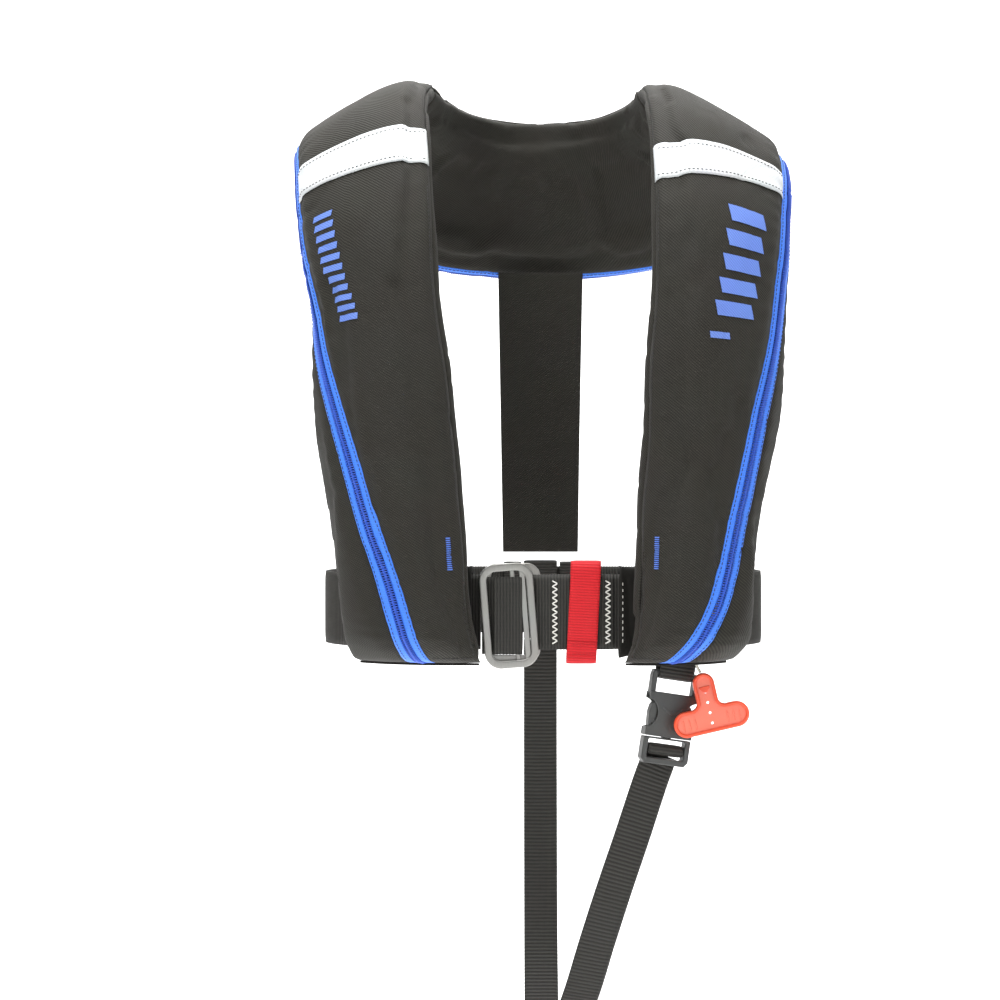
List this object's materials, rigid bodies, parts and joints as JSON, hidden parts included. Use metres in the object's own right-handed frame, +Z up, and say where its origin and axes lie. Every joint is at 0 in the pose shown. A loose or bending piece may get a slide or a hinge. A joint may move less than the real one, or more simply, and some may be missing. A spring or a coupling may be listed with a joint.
{
  "type": "inflatable life jacket",
  "caption": "Automatic inflatable life jacket as worn: zipped cover with bladder and inflator inside, waist belt with steel two-frame buckle, tether loop and crotch strap.",
  "frame": {"origin": "middle of the neck opening, level with the shoulder tops, where the wearer carries the jacket", "axes": "+X to the wearer's left, -Y to the wearer's front, +Z up"},
  "size_m": [0.3448, 0.2801, 0.6928],
  "materials": {
    "cover_fabric": "twill weave, matte",
    "zip_tape": "woven tape",
    "zip_coil": "satin",
    "zip_metal": "satin",
    "reflective_tape": "retroreflective, satin",
    "tack_thread": "thread",
    "bladder_fabric": "coated",
    "black_webbing": "ribbed webbing",
    "black_plastic": "fine texture",
    "yellow_plastic": "satin",
    "orange_plastic": "gloss",
    "red_plastic": "satin",
    "gas_steel": "satin",
    "cord": "braided",
    "white_thread": "thread",
    "buckle_steel": "satin",
    "red_webbing": "ribbed webbing"
  },
  "bodies": {
    "jacket": {"cover_front_left": "cover_fabric", "cover_front_right": "cover_fabric", "cover_back_left": "cover_fabric", "cover_back_right": "cover_fabric", "collar_outer": "cover_fabric", "collar_inner": "cover_fabric", "hem_left": "cover_fabric", "hem_right": "cover_fabric", "zip_tape_outer": "zip_tape", "zip_tape_inner": "zip_tape", "zip_coil": "zip_coil", "reflective_tape_left": "reflective_tape", "reflective_tape_right": "reflective_tape", "bar_tacks": "tack_thread", "bladder": "bladder_fabric", "harness_webbing": "black_webbing", "inflator_body": "black_plastic", "inflator_flange": "black_plastic", "oral_tube": "black_plastic", "whistle": "orange_plastic", "whistle_clip": "black_plastic", "waist_belt": "black_webbing", "belt_loop_fixed": "black_webbing", "belt_stitching": "white_thread", "belt_sleeve_left": "cover_fabric", "belt_sleeve_right": "cover_fabric", "buckle_frame_rear": "buckle_steel", "back_yoke": "cover_fabric", "yoke_loops": "cover_fabric", "crotch_hanger": "black_webbing", "crotch_buckle_female": "black_plastic", "crotch_strap": "black_webbing", "crotch_strap_anchor": "black_webbing"},
    "buckle_front": {"buckle_frame_front": "buckle_steel", "belt_loop_adjust": "black_webbing"},
    "tether_loop": {"tether_loop": "red_webbing"},
    "crotch_male": {"crotch_buckle_male": "black_plastic", "crotch_strap_turn": "black_webbing"},
    "prong_left": {"crotch_prong_left": "black_plastic"},
    "prong_right": {"crotch_prong_right": "black_plastic"},
    "pull_handle": {"pull_handle": "red_plastic", "pull_cord": "cord"},
    "inflator_lever": {"inflator_lever": "red_plastic"},
    "gas_cylinder": {"gas_cylinder": "gas_steel"},
    "sensor_cap": {"water_sensor_cap": "yellow_plastic"},
    "tube_cap": {"oral_tube_cap": "black_plastic"},
    "zip_slider": {"zip_slider": "zip_metal", "zip_pull": "zip_tape"}
  },
  "joints": [
    {"name": "front_frame_swing", "type": "hinge", "parent": "jacket", "child": "buckle_front", "pos_m": [-0.04344, -0.1114, -0.3723], "axis": [0.0785, 0, -0.9969], "range_deg": [0, 75]},
    {"name": "tether_loop_slide", "type": "slide", "parent": "jacket", "child": "tether_loop", "axis": [1, 0, 0], "range_m": [-0.0035, 0.0015]},
    {"name": "crotch_buckle_release", "type": "slide", "parent": "jacket", "child": "crotch_male", "axis": [-0.1488, -0.0483, -0.9877], "range_m": [0, 0.038], "deforming": ["crotch_strap"]},
    {"name": "prong_left_press", "type": "hinge", "parent": "crotch_male", "child": "prong_left", "pos_m": [0.09172, -0.09142, -0.45372], "axis": [0.309, -0.9511, 0], "range_deg": [0, 6], "stiffness_Nm_per_rad": 0.05},
    {"name": "prong_right_press", "type": "hinge", "parent": "crotch_male", "child": "prong_right", "pos_m": [0.07012, -0.09844, -0.45012], "axis": [-0.309, 0.9511, 0], "range_deg": [0, 6], "stiffness_Nm_per_rad": 0.05},
    {"name": "handle_pull", "type": "slide", "parent": "jacket", "child": "pull_handle", "axis": [0, 0, -1], "range_m": [0, 0.026], "deforming": ["pull_cord"]},
    {"name": "lever_turn", "type": "hinge", "parent": "jacket", "child": "inflator_lever", "pos_m": [0.0965, -0.118, -0.356], "axis": [0.3859, -0.9225, 0], "range_deg": [0, 100]},
    {"name": "gas_cylinder_unscrew", "type": "hinge", "parent": "jacket", "child": "gas_cylinder", "pos_m": [0.1155, -0.1125, -0.334], "axis": [0.1137, 0.0042, 0.9935], "continuous": true},
    {"name": "sensor_cap_unscrew", "type": "hinge", "parent": "jacket", "child": "sensor_cap", "pos_m": [0.1155, -0.1125, -0.334], "axis": [0.1137, 0.0042, 0.9935], "continuous": true},
    {"name": "tube_cap_lift", "type": "slide", "parent": "jacket", "child": "tube_cap", "axis": [-0.1125, 0.0094, 0.9936], "range_m": [0, 0.01]},
    {"name": "zip_slider_run", "type": "slide", "parent": "jacket", "child": "zip_slider", "axis": [-0.7629, -0.4806, 0.4324], "range_m": [0, 0.008]}
  ],
  "couplings": [
    {"joint": "lever_turn", "follows": "handle_pull", "rad_per_m": 67}
  ]
}
